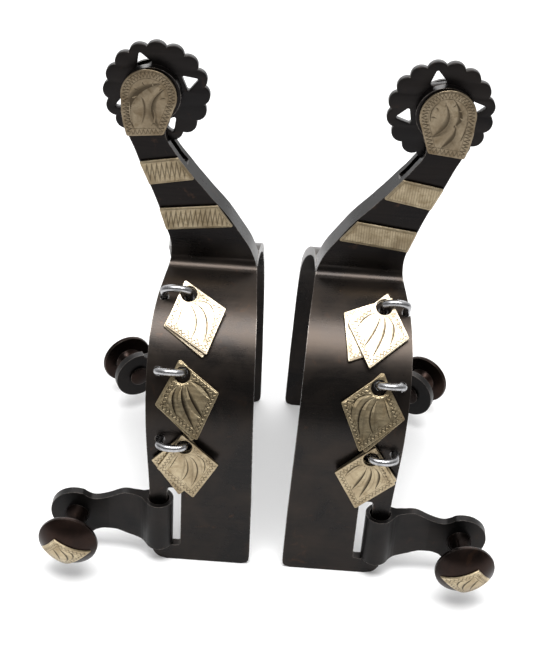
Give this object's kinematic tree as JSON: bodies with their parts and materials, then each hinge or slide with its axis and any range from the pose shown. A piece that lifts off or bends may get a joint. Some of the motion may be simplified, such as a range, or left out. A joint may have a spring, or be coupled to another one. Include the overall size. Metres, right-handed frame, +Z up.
{
  "type": "western spurs",
  "caption": "Mirrored pair of show spurs: heel bands with angled shanks, spinning scalloped rowels, swinging diamond jingle plates and folded strap hangers with domed buttons.",
  "frame": {"origin": "on the floor, under the middle of the box around the whole pair: midway between the two spurs in X, and between the front and back buttons in Y", "axes": "+Z up along the heel bands from the band tips to the rowels, X from the left spur to the right spur, -Y towards the decorated side of the bands"},
  "size_m": [0.143, 0.109, 0.1603],
  "materials": {
    "antique_brown_steel": "antique brown near-black satin steel, brushed",
    "rowel_steel": "antique brown steel with worn lighter edges",
    "browned_button_steel": "red-brown satin steel",
    "german_silver": "warm engraved german silver with dark patina in the cuts",
    "german_silver_charm": "warm engraved german silver plate",
    "polished_wire": "polished steel wire"
  },
  "bodies": {
    "left_frame": {"left_spur_body": "antique_brown_steel", "left_rowel_pin": "rowel_steel", "left_head_overlay": "german_silver", "left_shank_bar_upper": "german_silver", "left_shank_bar_lower": "german_silver", "left_staple_top": "polished_wire", "left_staple_middle": "polished_wire", "left_staple_bottom": "polished_wire"},
    "left_rowel": {"left_rowel": "rowel_steel"},
    "left_charm_top_front": {"left_charm_top_front": "german_silver_charm"},
    "left_charm_top_back": {"left_charm_top_back": "german_silver_charm"},
    "left_charm_middle_front": {"left_charm_middle_front": "german_silver_charm"},
    "left_charm_middle_back": {"left_charm_middle_back": "german_silver_charm"},
    "left_charm_bottom_front": {"left_charm_bottom_front": "german_silver_charm"},
    "left_charm_bottom_back": {"left_charm_bottom_back": "german_silver_charm"},
    "left_outer_hanger": {"left_outer_hanger": "antique_brown_steel", "left_outer_button": "browned_button_steel", "left_outer_button_patch": "german_silver"},
    "left_inner_hanger": {"left_inner_hanger": "antique_brown_steel", "left_inner_button": "browned_button_steel", "left_inner_button_patch": "german_silver"},
    "right_frame": {"right_spur_body": "antique_brown_steel", "right_rowel_pin": "rowel_steel", "right_head_overlay": "german_silver", "right_shank_bar_upper": "german_silver", "right_shank_bar_lower": "german_silver", "right_staple_top": "polished_wire", "right_staple_middle": "polished_wire", "right_staple_bottom": "polished_wire"},
    "right_rowel": {"right_rowel": "rowel_steel"},
    "right_charm_top_front": {"right_charm_top_front": "german_silver_charm"},
    "right_charm_top_back": {"right_charm_top_back": "german_silver_charm"},
    "right_charm_middle_front": {"right_charm_middle_front": "german_silver_charm"},
    "right_charm_middle_back": {"right_charm_middle_back": "german_silver_charm"},
    "right_charm_bottom_front": {"right_charm_bottom_front": "german_silver_charm"},
    "right_charm_bottom_back": {"right_charm_bottom_back": "german_silver_charm"},
    "right_outer_hanger": {"right_outer_hanger": "antique_brown_steel", "right_outer_button": "browned_button_steel", "right_outer_button_patch": "german_silver"},
    "right_inner_hanger": {"right_inner_hanger": "antique_brown_steel", "right_inner_button": "browned_button_steel", "right_inner_button_patch": "german_silver"}
  },
  "joints": [
    {"name": "left_rowel_spin", "type": "hinge", "parent": "left_frame", "child": "left_rowel", "pos_m": [-0.0413, 0.00596, 0.14465], "axis": [0, 1, 0], "continuous": true},
    {"name": "left_charm_top_front_swing", "type": "hinge", "parent": "left_frame", "child": "left_charm_top_front", "pos_m": [-0.0289, -0.01398, 0.08811], "axis": [0, -0.6225, 0.7826], "range_deg": [-35, 80]},
    {"name": "left_charm_top_back_swing", "type": "hinge", "parent": "left_frame", "child": "left_charm_top_back", "pos_m": [-0.0289, -0.01346, 0.08697], "axis": [0, -0.6225, 0.7826], "range_deg": [-15, 80]},
    {"name": "left_charm_middle_front_swing", "type": "hinge", "parent": "left_frame", "child": "left_charm_middle_front", "pos_m": [-0.0288, -0.03257, 0.07145], "axis": [0, -0.8192, 0.5736], "range_deg": [-35, 50]},
    {"name": "left_charm_middle_back_swing", "type": "hinge", "parent": "left_frame", "child": "left_charm_middle_back", "pos_m": [-0.0288, -0.0315, 0.07072], "axis": [0, -0.8192, 0.5736], "range_deg": [-30, 50]},
    {"name": "left_charm_bottom_front_swing", "type": "hinge", "parent": "left_frame", "child": "left_charm_bottom_front", "pos_m": [-0.0271, -0.04022, 0.0501], "axis": [0, -0.9994, 0.0349], "range_deg": [-25, 70]},
    {"name": "left_charm_bottom_back_swing", "type": "hinge", "parent": "left_frame", "child": "left_charm_bottom_back", "pos_m": [-0.0271, -0.03893, 0.04995], "axis": [0, -0.9994, 0.0349], "range_deg": [-15, 80]},
    {"name": "left_outer_hanger_swing", "type": "hinge", "parent": "left_frame", "child": "left_outer_hanger", "pos_m": [-0.0352, -0.03664, 0.0163], "axis": [0, 0, 1], "range_deg": [-130, 120]},
    {"name": "left_inner_hanger_swing", "type": "hinge", "parent": "left_frame", "child": "left_inner_hanger", "pos_m": [-0.0358, 0.04856, 0.0163], "axis": [0, 0, -1], "range_deg": [-100, 130]},
    {"name": "right_rowel_spin", "type": "hinge", "parent": "right_frame", "child": "right_rowel", "pos_m": [0.0413, 0.00596, 0.14465], "axis": [0, 1, 0], "continuous": true},
    {"name": "right_charm_top_front_swing", "type": "hinge", "parent": "right_frame", "child": "right_charm_top_front", "pos_m": [0.0304, -0.01383, 0.08818], "axis": [0, 0.6157, -0.788], "range_deg": [-25, 80]},
    {"name": "right_charm_top_back_swing", "type": "hinge", "parent": "right_frame", "child": "right_charm_top_back", "pos_m": [0.0304, -0.01332, 0.08704], "axis": [0, 0.6157, -0.788], "range_deg": [-45, 75]},
    {"name": "right_charm_middle_front_swing", "type": "hinge", "parent": "right_frame", "child": "right_charm_middle_front", "pos_m": [0.0301, -0.03239, 0.07172], "axis": [0, 0.8192, -0.5736], "range_deg": [-30, 55]},
    {"name": "right_charm_middle_back_swing", "type": "hinge", "parent": "right_frame", "child": "right_charm_middle_back", "pos_m": [0.0301, -0.03133, 0.07098], "axis": [0, 0.8192, -0.5736], "range_deg": [-25, 50]},
    {"name": "right_charm_bottom_front_swing", "type": "hinge", "parent": "right_frame", "child": "right_charm_bottom_front", "pos_m": [0.0297, -0.04018, 0.0505], "axis": [0, 0.9994, -0.0349], "range_deg": [-25, 70]},
    {"name": "right_charm_bottom_back_swing", "type": "hinge", "parent": "right_frame", "child": "right_charm_bottom_back", "pos_m": [0.0297, -0.03889, 0.05034], "axis": [0, 0.9994, -0.0349], "range_deg": [-20, 80]},
    {"name": "right_outer_hanger_swing", "type": "hinge", "parent": "right_frame", "child": "right_outer_hanger", "pos_m": [0.0352, -0.03664, 0.0163], "axis": [0, 0, -1], "range_deg": [-130, 120]},
    {"name": "right_inner_hanger_swing", "type": "hinge", "parent": "right_frame", "child": "right_inner_hanger", "pos_m": [0.0332, 0.04856, 0.0163], "axis": [0, 0, 1], "range_deg": [-100, 130]},
    {"name": "right_spur_lift_off", "type": "slide", "parent": "left_frame", "child": "right_frame", "axis": [0, 0, 1], "range_m": [0, 0.18]}
  ]
}
